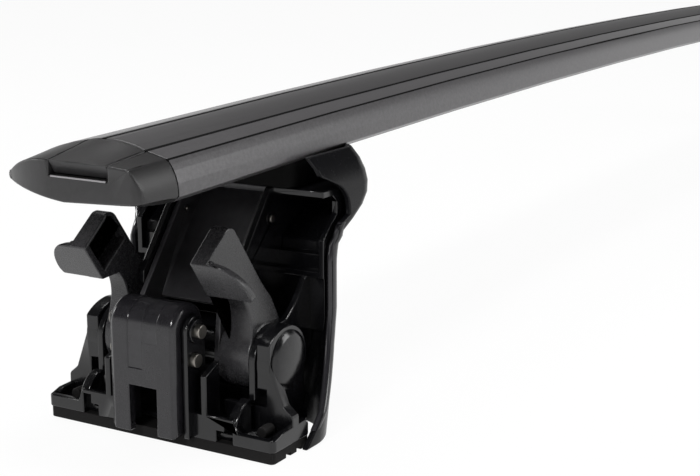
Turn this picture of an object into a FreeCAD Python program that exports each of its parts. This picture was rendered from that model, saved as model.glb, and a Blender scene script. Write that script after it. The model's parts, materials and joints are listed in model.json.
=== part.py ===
import FreeCAD, Part
import math
import os

# Roof rack crossbar: one arched aluminium bar on two identical feet.
# X runs along the bar, Y along the car with the blunt leading side at +Y, Z is up.
# The origin is on the roof, under the middle of the bar. Sizes are in millimetres.

# The bar as a whole
BAR_LENGTH = 1184.0
FOOT_INSET = 32.0            # from the bar's end in to the outer edge of the roof pad
ARCH_RADIUS = 17500.0        # the bar bows gently upward
BAR_HEIGHT_OVER_ROOF = 110.5  # underside of the bar above the roof, over each foot

# The bar's wing section
BAR_CHORD = 80.0
BAR_DEPTH = 25.6
BAR_WALL = 2.2
TAIL_HEIGHT = 8.0            # tail tip above the underside
LEAD_BOTTOM = 6.2            # lower edge of the blunt side
LEAD_TOP = 20.2              # upper edge of the blunt side
LEAD_INSET = 4.5             # how far the upper edge leans in

# Slot along the top for accessories, with the rubber strip that closes it
STRIP_WIDTH = 28.0
STRIP_CENTRE = 12.0
STRIP_SEAT = 20.4            # height of the strip's seat in the section
STRIP_PLAY = 0.15
SLOT_OPENING = 11.0
SLOT_CAVITY = 22.0
SLOT_LIP = 2.2
SLOT_HEIGHT = 7.2

# Slot along the underside for the bolts that hold the feet
BOLT_SLOT_OPENING = 9.0
BOLT_SLOT_CAVITY = 18.0
BOLT_SLOT_LIP = 2.2
BOLT_SLOT_HEIGHT = 5.6

# End cap with its hinged flap
CAP_LENGTH = 23.5
CAP_FRONT_HEIGHT = 20.8      # crease where the top meets the end face
CAP_UNDERCUT = 5.5           # how far the underside rises towards the end
CAP_NOSE_INSET = 14.0        # the thin tail draws in towards the end face
CAP_NOSE_RISE = 5.0
CAP_TAIL_RADIUS = 51.0       # plan curve from the end face back to the tail
CAP_CORNER = 4.0
PLUG_LENGTH = 18.0
PLUG_PLAY = 0.2
FLAP_PLAY = 0.35
FLAP_WALL = 2.2
FLAP_LEDGE = 3.0             # finger ledge under the flap's sloping front face
FLAP_LEDGE_HEIGHT = 15.2
FLAP_HINGE_SETBACK = 3.7     # hinge behind the crease
FLAP_HINGE_DEPTH = 2.2       # hinge below the crease
FLAP_KNUCKLE = 2.3
FLAP_PIN_RADIUS = 1.0
FLAP_PIN_ENGAGE = 2.5

# General clearances
RUNNING_GAP = 0.3            # between flat faces that slide past each other
SHAFT_PLAY = 0.05            # radial play of a turning part on its pin

# Roof pad and base moulding
PAD_THICKNESS = 5.0
PAD_SETBACK = 0.6
PAD_CORNER = 2.0
PAD_GROOVE_WIDTH = 3.0
PAD_GROOVE_DEPTH = 1.4
PAD_GROOVE_PITCH = 8.0
NUB_CENTRE = 49.0            # rubber nub that buttons the pad to the base, from the middle
NUB_RADIUS = 2.3
NUB_FRONT = 6.5
NUB_LENGTH = 7.0
NUB_NECK_LENGTH = 3.6
NUB_NECK_WIDTH = 2.4
NUB_PLAY = 0.1
BASE_WIDTH = 118.0
BASE_WIDE_DEPTH = 28.0
BASE_DEPTH = 44.5
BASE_FLOOR = 3.0
BASE_WALL = 3.0
BASE_CORNER = 2.5
BASE_RIM = 10.4              # height of the low front corners above the roof
BASE_SIDE_RIM = 11.8         # height of the side walls behind the corners
BASE_SIDE_BREAK = 7.0
BASE_FRONT_WALL = 15.9       # height of the raised part of the front wall
BASE_REAR_WALL = 14.0
BASE_SHOULDER = 39.5         # where the front wall starts to drop, from the middle
BASE_SHOULDER_RUN = 2.5
CROSS_WALL_HEIGHT = 18.3     # wall across the base, in line with the ears' faces
CROSS_WALL_STEP = 2.0
CROSS_WALL_SLOPE = 6.3
KEY_SLOT_CENTRE = 37.0
KEY_SLOT_WIDTH = 4.0
KEY_SLOT_HEIGHT = 9.0
KEY_SLOT_STEP = 5.0
POST_CENTRE = 25.0
POST_THICKNESS = 3.0
POST_DEPTH = 10.0
POST_HEIGHT = 32.3
POST_RISE = 4.2
GUSSET_RADIUS = 11.5         # quarter-round stiffener behind the front wall
GUSSET_HEIGHT = 22.0
GUSSET_CENTRE = 38.7
GUSSET_WIDTH = 4.5

# Main pivot between base and leg
PIVOT_INSET = 28.5
PIVOT_HEIGHT = 35.5
PIVOT_PIN_RADIUS = 5.0
EAR_RADIUS = 14.4
EAR_THICKNESS = 6.5
EAR_FACE_INSET = 14.5        # flat front face of the ear behind the pad edge
EAR_SHOULDER = 9.0           # the flat face ends this far above the pivot
EAR_UNDERCUT_HEIGHT = 25.6
EAR_UNDERCUT_DEPTH = 5.0
EAR_FLARE_RISE = 1.5         # the flare beside the ear starts this far above the pivot
EAR_FLARE_DEPTH = 5.0
EAR_FLARE_KNEE = (4.4, 19.8)  # in from the base's side, and above the roof
EAR_FLARE_FOOT = 15.5
PIVOT_CAP_RADIUS = 12.6
PIVOT_CAP_RIM = 0.4
PIVOT_CAP_BEVEL = 2.4
PIVOT_CAP_BULGE = 2.0
PIVOT_CAP_DOME = 3.0
PIVOT_CAP_SPIGOT = 4.0
SPACER_WALL = 3.0

# Steel leg bracket: a folded channel that leans inward from the pivot
CHANNEL_WIDTH = 44.0
CHANNEL_STEEL = 2.5
LEG_LEAN = 37.6              # degrees from upright
LEG_FRONT_OFFSET = 19.7      # channel's open edge, square to the leg, from the pivot
CHANNEL_DEPTH = 14.0
LEG_START = 8.0              # along the leg from the pivot
LEG_EYE_RADIUS = 13.0
SEAT_PLATE_FRONT = 53.0
SEAT_PLATE_LENGTH = 36.0
SEAT_GUSSET = 22.0

# Catch levers, one each side of the leg, on the main pivot
SLEEVE_LENGTH = 15.7
SLEEVE_RADIUS = 14.5
ARM_WIDTH = 8.1
ARM_SETBACK = 3.3            # the arm's outer face lies this far inside the sleeve's end
ARM_FLARE_TOP = 31.0         # above the pivot, where the arm starts to widen to the sleeve
ARM_FLARE_FOOT = 10.5
ARM_SKIN = 2.0
ARM_RIM = 2.2
ARM_POCKET_DEPTH = 17.0      # recess below the arm's sloping top edge
ARM_RIB_DEPTH = 10.4
ARM_RIB_WIDTH = 1.4
LEVER_TOP_HEIGHT = 93.8
LEVER_TOP_INSET = 7.8
LEVER_TOP_HALF = 4.2
TAB_TOP_HEIGHT = 81.5
TAB_BOTTOM_HEIGHT = 65.8
TAB_TOP_OUT = 9.5            # in front of the pad's edge
TAB_BOTTOM_IN = 1.7
TAB_THICKNESS = 3.6
TAB_REACH = 22.7             # sideways beyond the arm's inner face
TAB_TOP_REACH = 10.0         # the tab's top edge is straight this far
TAB_BEND = (3.7, 3.3)        # bend point of its round corner, in from the end and the top

# Inner frame of the tower
CHEEK_THICKNESS = 3.0
CHEEK_RADIUS = 15.2
CHEEK_RISE = 14.0            # its level top above the pivot
CHEEK_FRONT_FOOT = 20.5
FRAME_WALL = 2.8
FRAME_FRONT = 54.0
FRAME_DECK = 3.0
FRAME_BACK_THICKNESS = 2.6
FRAME_BACK_FOOT = 40.0
FRAME_BACK_TOP_DROP = 28.0   # below the steel seat
FRAME_SHELF_DROP = 35.0
FRAME_SIDE = 50.0            # outer face of the side wall from the middle
SCREW_HEAD_RADIUS = 1.8
SCREW_HEAD_HEIGHT = 1.2
SCREW_RADIUS = 1.2
SCREW_BELOW_SEAT = 11.0      # screw under the seat plate
SCREW_FRONT = 51.5

# Outer shell of the tower
SHELL_WALL = 2.8
SHELL_WIDTH = 110.0
SHELL_BACK = 63.0
SHELL_FOOT_HEIGHT = 0.5
SHELL_LIP_HEIGHT = 12.6      # the skirt's sides are upright below this
SHELL_WAIST_HEIGHT = 45.0    # the skirt flares out below this
SHELL_FLARE = 7.2            # to each side at the foot
SHELL_TUCK = 9.0             # how far the back tucks forward at the foot
SHELL_FOOT_CORNER = 26.0
SHELL_SKIRT_LEVELS = 4
SHELL_SHOULDER_DROP = 25.0   # below the steel seat
SHELL_SWELL = 12.5           # height over which the head swells back
SHELL_HEAD_DEPTH = 31.0      # how far the head stands behind the column
SHELL_BROW_RADIUS = 26.0     # the sides round inward under the bar
SHELL_BROW_HEIGHT = 20.0
SHELL_LEVEL_STEP = 5.0
SHELL_CORNER = 13.0
LINER_GAP = 0.4              # between the shell and the frame inside it
SKIRT_FRONT = 20.0           # front tip of the skirt, behind the pad's edge
RIM_LIP = 33.5               # the rim at the top of the skirt's upright part
RIM_BEND = (44.5, 27.0)      # bend point of its sweep up to the column
RIM_FRONT = 54.0             # the rim's straight stretch
RIM_SWEEP_TOP = 52.0
RIM_SHOULDER_DROP = 30.0     # below the steel seat
RIM_SHOULDER_BEND = (2.2, 6.0)
RIM_SHOULDER_END = (4.5, 10.0)
RIM_NOTCH_DROP = 15.0        # the rim cuts in over the shoulder
RIM_NOTCH_BACK = 68.0
RIM_NOTCH_RISE = 3.5
RIM_HOOD_BEND = (1.0, 10.0)
RIM_HOOD_ROOT = (8.0, 4.5)
RIM_HOOD_DROP = 1.5          # and comes forward again under the bar
RIM_HOOD_FRONT = 50.0

# Saddle and its bolts
SADDLE_DEPTH = 8.5           # between the steel seat and the bar's underside
SADDLE_LENGTH = 37.0
SADDLE_WIDTH = 70.0
SADDLE_CORNER = 6.0
SADDLE_RELIEF = 5.0
BOLT_FROM_BACK = 11.0        # from the seat plate's back edge
BOLT_RADIUS = 3.5
BOLT_HEAD_LENGTH = 14.0
BOLT_HEAD_WIDTH = 12.0
BOLT_HEAD_HEIGHT = 4.4
BOLT_TAIL = 8.0              # below the seat plate
NUT_WIDTH = 11.0
NUT_HEIGHT = 5.0
WASHER_RADIUS = 6.0
WASHER_THICKNESS = 1.4

# Clamp block, hinged on its own pin in the base lugs
BLOCK_WIDTH = 33.0
BLOCK_OUT = 8.0              # front face in front of the pad's edge
BLOCK_BACK = 8.0
BLOCK_FRONT_WALL = 4.0
BLOCK_SIDE_WALL = 3.0
BLOCK_CROWN_RADIUS = 11.0
BLOCK_PIN_INSET = 3.0
BLOCK_PIN_HEIGHT = 50.0
BLOCK_PIN_RADIUS = 3.0
BLOCK_PIN_OVERHANG = 3.6
BLOCK_NOTCH_WIDTH = 14.0
BLOCK_NOTCH_TOP = 25.7
BLOCK_BAND_WIDTH = 6.9
BLOCK_BAND_DEPTH = 0.35
BLOCK_BAND_FOOT = 33.5
BLOCK_PANEL_WIDTH = 7.6
BLOCK_PANEL_DEPTH = 0.2
BLOCK_PANEL_FOOT = 45.0
BLOCK_CORNER = 2.4
LUG_GAP = 0.8
LUG_THICKNESS = 2.5
LUG_EYE_RADIUS = 6.5
LUG_DEPTH = 13.0
LUG_FOOT_RISE = 12.0
CLIP_RADIUS = 5.0
CLIP_THICKNESS = 1.2
STUD_HEIGHT = 37.9
STUD_SETBACK = 1.6
STUD_RADIUS = 3.0
STUD_LENGTH = 2.2

# Places that follow from the sizes above. Foot sizes are given at the right foot,
# with x = 0 at the outer edge of its base, so that everything inboard is negative.
FOOT_X = BAR_LENGTH / 2 - FOOT_INSET
PIVOT_X = -PIVOT_INSET
BASE_FLOOR_TOP = PAD_THICKNESS + BASE_FLOOR
channel_side = CHANNEL_WIDTH / 2
sleeve_in = channel_side + RUNNING_GAP
sleeve_out = sleeve_in + SLEEVE_LENGTH
cheek_in = sleeve_out + RUNNING_GAP
cheek_out = cheek_in + CHEEK_THICKNESS
ear_in = cheek_out + RUNNING_GAP
ear_out = ear_in + EAR_THICKNESS
block_side = BLOCK_WIDTH / 2
lug_in = block_side + LUG_GAP
lug_out = lug_in + LUG_THICKNESS
seat_top = BAR_HEIGHT_OVER_ROOF - SADDLE_DEPTH
seat_low = seat_top - CHANNEL_STEEL
seat_middle = -(SEAT_PLATE_FRONT + SEAT_PLATE_LENGTH / 2)
shell_side = SHELL_WIDTH / 2
shell_shoulder = seat_top - SHELL_SHOULDER_DROP
frame_back_top = seat_top - FRAME_BACK_TOP_DROP
frame_shelf = seat_top - FRAME_SHELF_DROP


def vec(x, y, z):
    return FreeCAD.Vector(x, y, z)


def flat(plane, at, start, *steps):
    """A flat face. A step is one point, reached straight, or two, an arc through the first."""
    place = {
        "xz": lambda a, b: vec(a, at, b),
        "yz": lambda a, b: vec(at, a, b),
        "xy": lambda a, b: vec(a, b, at),
    }[plane]
    edges = []
    here = place(*start)
    for step in steps + (start,):
        if isinstance(step[0], tuple):
            via, end = place(*step[0]), place(*step[1])
            edges.append(Part.Arc(here, via, end).toShape())
        else:
            end = place(*step)
            if end.distanceToPoint(here) < 1e-6:
                continue
            edges.append(Part.LineSegment(here, end).toShape())
        here = end
    return Part.Face(Part.Wire(edges))


def box(x, y, z):
    """A block from three (low, high) pairs."""
    return Part.makeBox(x[1] - x[0], y[1] - y[0], z[1] - z[0], vec(x[0], y[0], z[0]))


def rod_y(x, z, y, radius):
    return Part.makeCylinder(radius, y[1] - y[0], vec(x, y[0], z), vec(0, 1, 0))


def rod_z(x, y, z, radius):
    return Part.makeCylinder(radius, z[1] - z[0], vec(x, y, z[0]), vec(0, 0, 1))


def plate_xz(y, start, *steps):
    """A plate that stands across Y between two values of y."""
    return flat("xz", y[0], start, *steps).extrude(vec(0, y[1] - y[0], 0))


def plate_yz(x, start, *steps):
    return flat("yz", x[0], start, *steps).extrude(vec(x[1] - x[0], 0, 0))


def plate_xy(z, start, *steps):
    return flat("xy", z[0], start, *steps).extrude(vec(0, 0, z[1] - z[0]))


def join(first, *others):
    if not others:
        return first
    return first.fuse(list(others)).removeSplitter()


def other_side(shape):
    """The same shape on the far side of the foot's middle plane."""
    return shape.mirror(vec(0, 0, 0), vec(0, 1, 0))


def both_sides(shape):
    return [shape, other_side(shape)]


def round_edges(shape, radius, wanted):
    """Fillets the edges that wanted(edge) picks."""
    chosen = [edge for edge in shape.Edges if wanted(edge)]
    return shape.makeFillet(radius, chosen)


def runs_along(edge, axis):
    if not isinstance(edge.Curve, Part.Line):
        return False
    return abs(abs(edge.Curve.Direction.dot(axis)) - 1) < 1e-6


def near(value, wanted, slack=0.01):
    return abs(value - wanted) < slack


# The bar's section. It is drawn in Y and Z with z = 0 at the lowest point.
half_chord = BAR_CHORD / 2
strip_tail = STRIP_CENTRE - STRIP_WIDTH / 2
strip_lead = STRIP_CENTRE + STRIP_WIDTH / 2


def section_outline(front_height, lift, nose_inset, nose_rise):
    """The wing outline. The front height caps its crown, the lift raises its underside and
    the nose values move its tail in and up."""
    tail_y, tail_z = nose_inset - half_chord, TAIL_HEIGHT + nose_rise
    lead_top = min(LEAD_TOP, front_height)
    crown = min(BAR_DEPTH, front_height + 0.3)
    lead_strip = min(LEAD_TOP + 2.2, front_height + 0.1)
    tail_strip = min(BAR_DEPTH - 1.0, front_height + 0.1)
    tail_mid = min(BAR_DEPTH * 0.78, front_height - 1.0)
    return [
        (half_chord, LEAD_BOTTOM + lift * 0.3),
        ((half_chord - 1.0, (LEAD_BOTTOM + LEAD_TOP) / 2 + 1.2), (half_chord - LEAD_INSET, lead_top)),
        (strip_lead, lead_strip),
        ((STRIP_CENTRE, crown), (strip_tail, tail_strip)),
        (((nose_inset - half_chord) / 2, tail_mid), (tail_y + 1.7, tail_z + 2.0)),
        ((tail_y, tail_z), (tail_y + 1.5, tail_z - 1.8)),
        ((nose_inset / 2 - half_chord * 0.45, 1.7 + lift + nose_rise / 10), (half_chord * 0.1, lift)),
        ((half_chord * 0.6, 1.1 + lift), (half_chord - 2.6, LEAD_BOTTOM - 2.0 + lift * 0.6)),
    ]


bar_outline = section_outline(BAR_DEPTH, 0.0, 0.0, 0.0)
bar_face = flat("yz", 0, *bar_outline)

slot_floor = STRIP_SEAT - SLOT_LIP - SLOT_HEIGHT
bolt_slot_top = BOLT_SLOT_LIP + BOLT_SLOT_HEIGHT


def strip_bay():
    """The shallow seat of the rubber strip, open upward."""
    return flat("yz", 0, (strip_tail, STRIP_SEAT), (strip_lead, STRIP_SEAT),
                (strip_lead, BAR_DEPTH + 5), (strip_tail, BAR_DEPTH + 5))


def centred(middle, width, low, high):
    return flat("yz", 0, (middle - width / 2, low), (middle + width / 2, low),
                (middle + width / 2, high), (middle - width / 2, high))


def crossbar_section():
    solid_core = [
        centred(STRIP_CENTRE, SLOT_CAVITY + 2 * BAR_WALL, slot_floor - BAR_WALL, BAR_DEPTH),
        centred(STRIP_CENTRE, STRIP_WIDTH + 2 * BAR_WALL, STRIP_SEAT - BAR_WALL, BAR_DEPTH),
        centred(0, BOLT_SLOT_CAVITY + 2 * BAR_WALL, 0, bolt_slot_top + BAR_WALL),
    ]
    chambers = bar_face.makeOffset2D(-BAR_WALL).cut(solid_core)
    openings = [
        strip_bay(),
        centred(STRIP_CENTRE, SLOT_OPENING, STRIP_SEAT - SLOT_LIP, STRIP_SEAT),
        centred(STRIP_CENTRE, SLOT_CAVITY, slot_floor, slot_floor + SLOT_HEIGHT),
        centred(0, BOLT_SLOT_OPENING, -5, BOLT_SLOT_LIP),
        centred(0, BOLT_SLOT_CAVITY, BOLT_SLOT_LIP, bolt_slot_top),
    ]
    return bar_face.cut([chambers] + openings), chambers


def strip_section():
    strip = bar_face.common(strip_bay())
    sides = [
        centred(strip_tail, 2 * STRIP_PLAY, 0, BAR_DEPTH + 5),
        centred(strip_lead, 2 * STRIP_PLAY, 0, BAR_DEPTH + 5),
    ]
    return strip.cut(sides)


# The arch: sections are swept about an axis far below the roof.
half_arch = math.asin(BAR_LENGTH / 2 / ARCH_RADIUS)


def arch_drop(x):
    """How far the bar has fallen at x from its height in the middle."""
    return ARCH_RADIUS - math.sqrt(ARCH_RADIUS ** 2 - x ** 2)


seat_x = FOOT_X + seat_middle
apex_underside = BAR_HEIGHT_OVER_ROOF + arch_drop(seat_x)
arch_axis = vec(0, 0, apex_underside - ARCH_RADIUS)


def sweep_arch(section, half_angle=half_arch):
    start = section.copy()
    start.translate(vec(0, 0, apex_underside))
    start.rotate(arch_axis, vec(0, 1, 0), -math.degrees(half_angle))
    return start.revolve(arch_axis, vec(0, 1, 0), 2 * math.degrees(half_angle))


def at_bar_end(shape):
    """Carries a shape drawn from x = 0 outward to the right end of the arched bar."""
    moved = shape.copy()
    moved.translate(vec(0, 0, apex_underside))
    moved.rotate(arch_axis, vec(0, 1, 0), math.degrees(half_arch))
    return moved


def underside_at(x):
    """Height of the bar's underside above the roof, x measured at the right foot."""
    return apex_underside - arch_drop(FOOT_X + x)


# End cap, drawn in the bar's own section frame with x = 0 at the bar's end
flap_tail = strip_tail + FLAP_PLAY
flap_lead = strip_lead - FLAP_PLAY
cap_corner_y = half_chord - CAP_CORNER


def cap_plan():
    """Plan outline of the cap: square end face, then a long curve back to the tail."""
    curve_end = -half_chord - 1
    drop = CAP_TAIL_RADIUS - math.sqrt(CAP_TAIL_RADIUS ** 2 - curve_end ** 2)
    half = curve_end / 2
    half_drop = CAP_TAIL_RADIUS - math.sqrt(CAP_TAIL_RADIUS ** 2 - half ** 2)
    bend = CAP_CORNER * (1 - math.sqrt(0.5))
    return plate_xy(
        (-5, BAR_DEPTH + 10),
        (0, half_chord + 1), (0, -half_chord - 1), (CAP_LENGTH - drop, curve_end),
        ((CAP_LENGTH - half_drop, half), (CAP_LENGTH, 0)), (CAP_LENGTH, cap_corner_y),
        ((CAP_LENGTH - bend, half_chord - bend), (CAP_LENGTH - CAP_CORNER, half_chord)),
        (CAP_LENGTH - CAP_CORNER, half_chord + 1))


def cap_body():
    far_outline = section_outline(CAP_FRONT_HEIGHT, CAP_UNDERCUT, CAP_NOSE_INSET, CAP_NOSE_RISE)
    wires = [flat("yz", 0, *bar_outline).OuterWire, flat("yz", CAP_LENGTH, *far_outline).OuterWire]
    return Part.makeLoft(wires, True, True).common(cap_plan())


hinge_x = CAP_LENGTH - FLAP_HINGE_SETBACK
hinge_z = CAP_FRONT_HEIGHT - FLAP_HINGE_DEPTH
flap_front = CAP_LENGTH - FLAP_LEDGE


def flap_profile(y, inset):
    """Side view of the flap, as a block: its front face slopes in above the finger ledge."""
    slope = FLAP_LEDGE / (CAP_FRONT_HEIGHT - FLAP_LEDGE_HEIGHT)
    low, high = FLAP_LEDGE_HEIGHT + FLAP_PLAY, BAR_DEPTH + 5
    crease = CAP_LENGTH - inset
    return plate_xz(y, (FLAP_PLAY, low), (crease - FLAP_LEDGE, low),
                    (crease + slope * (high - CAP_FRONT_HEIGHT), high), (FLAP_PLAY, high))


def end_cap():
    cap = cap_body()
    tunnel = box((-1, flap_front - 2 * FLAP_WALL), (strip_tail + BAR_WALL, strip_lead - BAR_WALL),
                 (slot_floor, BAR_DEPTH + 5))
    bay = box((-1, CAP_LENGTH + 5), (strip_tail, strip_lead), (FLAP_LEDGE_HEIGHT, BAR_DEPTH + 5))
    pin = rod_y(hinge_x, hinge_z, (strip_tail - FLAP_PIN_ENGAGE, strip_lead + FLAP_PIN_ENGAGE),
                FLAP_PIN_RADIUS)
    plugs = crossbar_section()[1].makeOffset2D(-PLUG_PLAY).extrude(vec(-PLUG_LENGTH, 0, 0))
    return join(cap.cut([tunnel, bay, pin]), plugs)


def end_cap_flap():
    y = (flap_tail, flap_lead)
    wide = (flap_tail - 1, flap_lead + 1)
    under = cap_body().common(flap_profile(wide, 1.2 * FLAP_WALL))
    under.translate(vec(0, 0, -FLAP_WALL))
    skin = cap_body().common(flap_profile(y, 0))
    shell = skin.cut([under, under.translated(vec(-2 * FLAP_PLAY, 0, 0))])
    knuckle = rod_y(hinge_x, hinge_z, y, FLAP_KNUCKLE)
    bore = rod_y(hinge_x, hinge_z, wide, FLAP_PIN_RADIUS + SHAFT_PLAY)
    return join(shell, knuckle.common(skin)).cut(bore)


def end_cap_flap_pin():
    y = (strip_tail - FLAP_PIN_ENGAGE, strip_lead + FLAP_PIN_ENGAGE)
    return rod_y(hinge_x, hinge_z, y, FLAP_PIN_RADIUS)


# Foot: roof pad and base
base_side = BASE_WIDTH / 2


def base_plan(z, inset, corner):
    """Footprint: wide across the outer edge, narrower behind, with round corners."""
    wide, slim = base_side - inset, ear_out - inset
    front, step, back = -inset, -BASE_WIDE_DEPTH, -BASE_DEPTH + inset
    plan = plate_xy(z, (front, -wide), (front, wide), (step, wide), (step, slim),
                    (back, slim), (back, -slim), (step, -slim), (step, -wide))
    outer = [(front, wide), (front, -wide), (step, wide), (step, -wide), (back, slim), (back, -slim)]

    def at_corner(edge):
        middle = edge.CenterOfMass
        upright = runs_along(edge, vec(0, 0, 1))
        return upright and any(near(middle.x, x) and near(middle.y, y) for x, y in outer)

    return round_edges(plan, corner, at_corner)


def rubber_pad():
    pad = base_plan((0, PAD_THICKNESS), PAD_SETBACK, PAD_CORNER)
    grooves = []
    count = int((BASE_DEPTH - 2 * PAD_GROOVE_PITCH) / PAD_GROOVE_PITCH)
    for step in range(count):
        x = -PAD_GROOVE_PITCH * (step + 1.5)
        grooves.append(box((x - PAD_GROOVE_WIDTH / 2, x + PAD_GROOVE_WIDTH / 2),
                           (-base_side, base_side), (0, PAD_GROOVE_DEPTH)))
    return join(pad.cut(grooves), *both_sides(pad_nub()))


def nub_neck(play):
    """The neck of the pad's nub, through the base's floor."""
    middle = -NUB_FRONT - NUB_LENGTH / 2
    half_length, half_width = NUB_NECK_LENGTH / 2 + play, NUB_NECK_WIDTH / 2 + play
    return box((middle - half_length, middle + half_length),
               (NUB_CENTRE - half_width, NUB_CENTRE + half_width),
               (PAD_THICKNESS - 1 - play, BASE_FLOOR_TOP + 1 + play))


def pad_nub():
    """Round nub that is pulled up through the base's floor and holds the pad."""
    start = vec(-NUB_FRONT - NUB_LENGTH, NUB_CENTRE, BASE_FLOOR_TOP + NUB_RADIUS)
    return Part.makeCylinder(NUB_RADIUS, NUB_LENGTH, start, vec(1, 0, 0)).fuse(nub_neck(0))


def base_ear():
    """One post beside the leg that carries the pivot pin, undercut at its front foot."""
    front, back = -EAR_FACE_INSET, PIVOT_X - EAR_RADIUS + 2
    shoulder, crown = PIVOT_HEIGHT + EAR_SHOULDER, PIVOT_HEIGHT + EAR_RADIUS
    post = plate_xz(
        (ear_in, ear_out),
        (front, EAR_UNDERCUT_HEIGHT), (front, shoulder),
        (((front + PIVOT_X) / 2, crown - (crown - shoulder) / 4), (PIVOT_X, crown)), (back, PIVOT_HEIGHT),
        (back, BASE_FLOOR_TOP - 1), (front - EAR_UNDERCUT_DEPTH, BASE_FLOOR_TOP - 1),
        (front - EAR_UNDERCUT_DEPTH, EAR_UNDERCUT_HEIGHT - EAR_UNDERCUT_DEPTH))
    eye = rod_y(PIVOT_X, PIVOT_HEIGHT, (ear_in, ear_out), EAR_RADIUS)
    return post.fuse(eye)


def base_cross_wall():
    """Wall in line with the ear's face, stepped down at the base's side."""
    front, side, top = -EAR_FACE_INSET, base_side, CROSS_WALL_HEIGHT
    return plate_yz(
        (front - BASE_WALL, front),
        (POST_CENTRE, PAD_THICKNESS), (side, PAD_THICKNESS), (side, top - 3 * CROSS_WALL_STEP),
        (side - CROSS_WALL_STEP, top - CROSS_WALL_STEP), (side - CROSS_WALL_SLOPE, top), (POST_CENTRE, top))


def base_flare():
    """Web that spreads from the ear's outer face down to the base's side."""
    front = -EAR_FACE_INSET
    knee_in, knee_height = EAR_FLARE_KNEE
    top = PIVOT_HEIGHT + EAR_FLARE_RISE
    return plate_yz(
        (front - EAR_FLARE_DEPTH, front),
        (ear_out - 2, PAD_THICKNESS), (base_side, PAD_THICKNESS), (base_side, EAR_FLARE_FOOT),
        (base_side - 0.4, EAR_FLARE_FOOT + 1), (base_side - knee_in, knee_height), (ear_out, top),
        (ear_out - 2, top))


def base_side_wall():
    """Side wall, a little higher behind its front corner."""
    back = -BASE_WIDE_DEPTH + BASE_CORNER
    return plate_xz(
        (base_side - BASE_WALL, base_side),
        (-BASE_CORNER, PAD_THICKNESS), (-BASE_CORNER, BASE_RIM), (-BASE_SIDE_BREAK, BASE_SIDE_RIM),
        (back, BASE_SIDE_RIM + 0.7), (back, PAD_THICKNESS))


def base_lug():
    """Upright lug beside the clamp block, with the eye for the block's pin."""
    x, z = -BLOCK_PIN_INSET, BLOCK_PIN_HEIGHT
    front, back = x + LUG_EYE_RADIUS, x - LUG_EYE_RADIUS
    web = plate_xz((lug_in, lug_out), (front, PAD_THICKNESS), (front, z), (back, z),
                   (back, PAD_THICKNESS + LUG_FOOT_RISE), (front - LUG_DEPTH, PAD_THICKNESS))
    return web.fuse(rod_y(x, z, (lug_in, lug_out), LUG_EYE_RADIUS))


def base_front_wall():
    top = BASE_FRONT_WALL
    return plate_yz(
        (-BASE_WALL, 0),
        (lug_in, PAD_THICKNESS), (base_side - BASE_CORNER, PAD_THICKNESS),
        (base_side - BASE_CORNER, BASE_RIM), (BASE_SHOULDER + BASE_SHOULDER_RUN, BASE_RIM),
        (BASE_SHOULDER, top), (lug_in, top))


def base_post():
    y = (POST_CENTRE - POST_THICKNESS / 2, POST_CENTRE + POST_THICKNESS / 2)
    return plate_xz(y, (0, PAD_THICKNESS), (0, POST_HEIGHT), (-POST_DEPTH, POST_HEIGHT + POST_RISE),
                    (-POST_DEPTH, PAD_THICKNESS))


def base_gusset():
    radius = GUSSET_RADIUS
    centre = GUSSET_HEIGHT - radius
    bend = radius * (1 - math.sqrt(0.5))
    return plate_xz(
        (GUSSET_CENTRE - GUSSET_WIDTH / 2, GUSSET_CENTRE + GUSSET_WIDTH / 2),
        (0, PAD_THICKNESS), (0, centre), ((-bend, GUSSET_HEIGHT - bend), (-radius, GUSSET_HEIGHT)),
        (-radius, PAD_THICKNESS))


def base_plate():
    floor = base_plan((PAD_THICKNESS, BASE_FLOOR_TOP), 0, BASE_CORNER)
    rim = base_plan((PAD_THICKNESS, BASE_RIM), 0, BASE_CORNER)
    well = base_plan((BASE_FLOOR_TOP, BASE_RIM + 1), BASE_WALL, BASE_CORNER - 1)
    rim = rim.cut(well)
    side = []
    for half in (
        base_ear(), base_lug(), base_front_wall(), base_post(), base_gusset(), base_cross_wall(),
        base_flare(), base_side_wall(),
    ):
        side += both_sides(half)
    rear = box((-BASE_DEPTH, -BASE_DEPTH + BASE_WALL), (-ear_in, ear_in), (PAD_THICKNESS, BASE_REAR_WALL))
    base = join(floor, rim, rear, *side)
    bay_side = block_side + LUG_GAP
    cuts = [
        box((-BLOCK_BACK - 1.5, 5), (-bay_side, bay_side), (0, BLOCK_PIN_HEIGHT + 20)),
        rod_y(PIVOT_X, PIVOT_HEIGHT, (-base_side, base_side), PIVOT_PIN_RADIUS),
        rod_y(-BLOCK_PIN_INSET, BLOCK_PIN_HEIGHT, (-lug_out - 1, lug_out + 1), BLOCK_PIN_RADIUS),
        rod_y(-STUD_SETBACK, STUD_HEIGHT, (-lug_out - 1, lug_out + 1), STUD_RADIUS),
    ]
    cuts += both_sides(rod_y(PIVOT_X, PIVOT_HEIGHT, (ear_out, base_side), PIVOT_CAP_RADIUS + RUNNING_GAP))
    cuts += both_sides(nub_neck(NUB_PLAY))
    slot_low = KEY_SLOT_CENTRE - KEY_SLOT_WIDTH / 2
    for slot in (
        box((-BASE_WALL - 1, 1), (slot_low, slot_low + KEY_SLOT_WIDTH), (0, PAD_THICKNESS + KEY_SLOT_HEIGHT)),
        box((-BASE_WALL - 1, 1), (slot_low - KEY_SLOT_WIDTH, slot_low + 1), (0, PAD_THICKNESS + KEY_SLOT_STEP)),
    ):
        cuts += both_sides(slot)
    return base.cut(cuts)


def pivot_pin():
    reach = ear_out - PIVOT_CAP_SPIGOT
    return rod_y(PIVOT_X, PIVOT_HEIGHT, (-reach, reach), PIVOT_PIN_RADIUS)


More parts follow.
